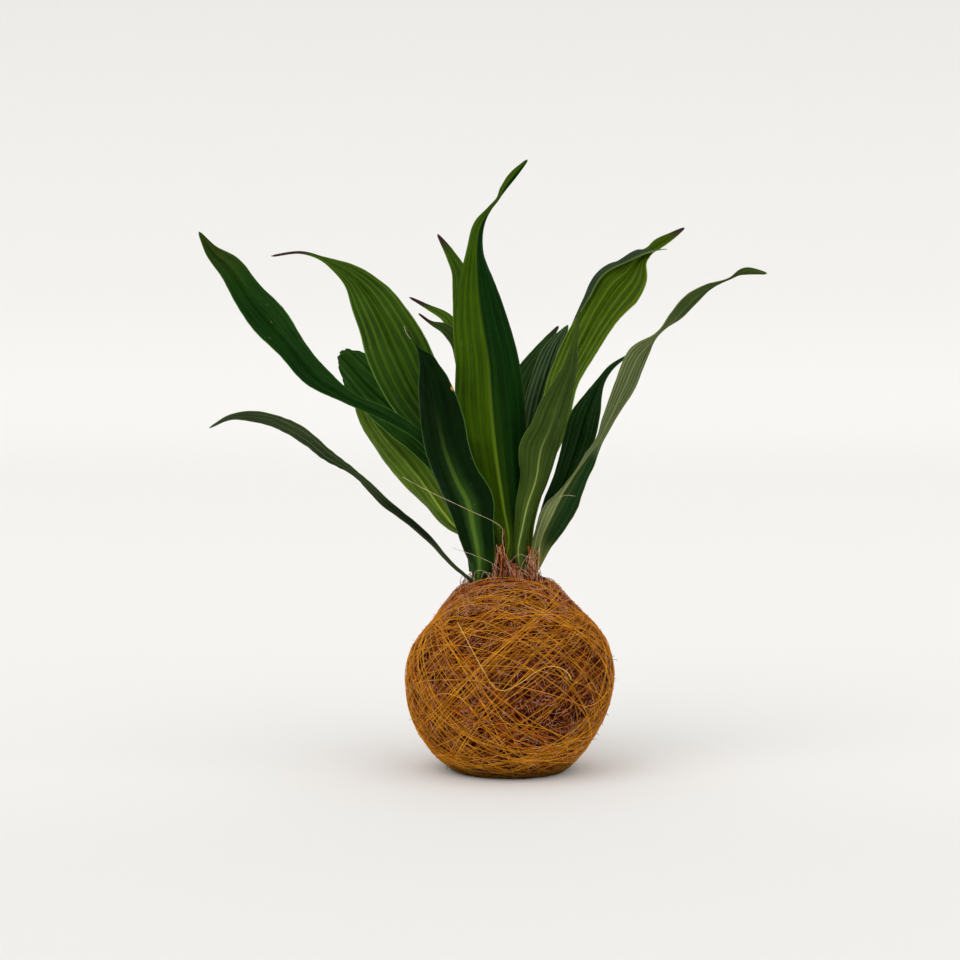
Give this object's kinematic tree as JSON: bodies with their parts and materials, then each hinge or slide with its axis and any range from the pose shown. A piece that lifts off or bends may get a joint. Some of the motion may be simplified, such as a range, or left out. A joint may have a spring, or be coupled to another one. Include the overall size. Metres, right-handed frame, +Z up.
{
  "type": "kokedama plant",
  "caption": "Strap-leaved house plant growing from a ball of soil wrapped in coconut fibre and wound with golden thread, standing on a flat spot.",
  "frame": {"origin": "middle of the flat spot under the ball, on the surface it stands on", "axes": "+Z straight up through the ball and the shoots, -Y towards the front of the plant, +X to its right"},
  "size_m": [0.314, 0.1365, 0.3525],
  "materials": {
    "leaf": "satin, dark green, ribbed lengthwise, paler underneath",
    "stem": "matt green cane",
    "soil": "matt dark soil",
    "coir": "matt reddish-brown coconut fibre",
    "thread": "mustard-gold thread with a slight sheen"
  },
  "bodies": {
    "root": {"coir_wrap": "coir", "soil_core": "soil", "thread_winding": "thread", "stem_left": "stem", "stem_middle": "stem", "stem_right": "stem", "leaf_01_far_left": "leaf", "leaf_02_upper_left": "leaf", "leaf_03_torn_left": "leaf", "leaf_04_low_left": "leaf", "leaf_05_front_dark": "leaf", "leaf_06_tall_centre": "leaf", "leaf_07_back_slim": "leaf", "leaf_08_back_curled": "leaf", "leaf_09_back_low": "leaf", "leaf_10_back_right": "leaf", "leaf_11_back_right_short": "leaf", "leaf_12_front_right": "leaf", "leaf_13_upper_right": "leaf", "leaf_14_dark_right": "leaf", "leaf_15_long_right": "leaf", "leaf_16_arching_left": "leaf"}
  },
  "joints": []
}
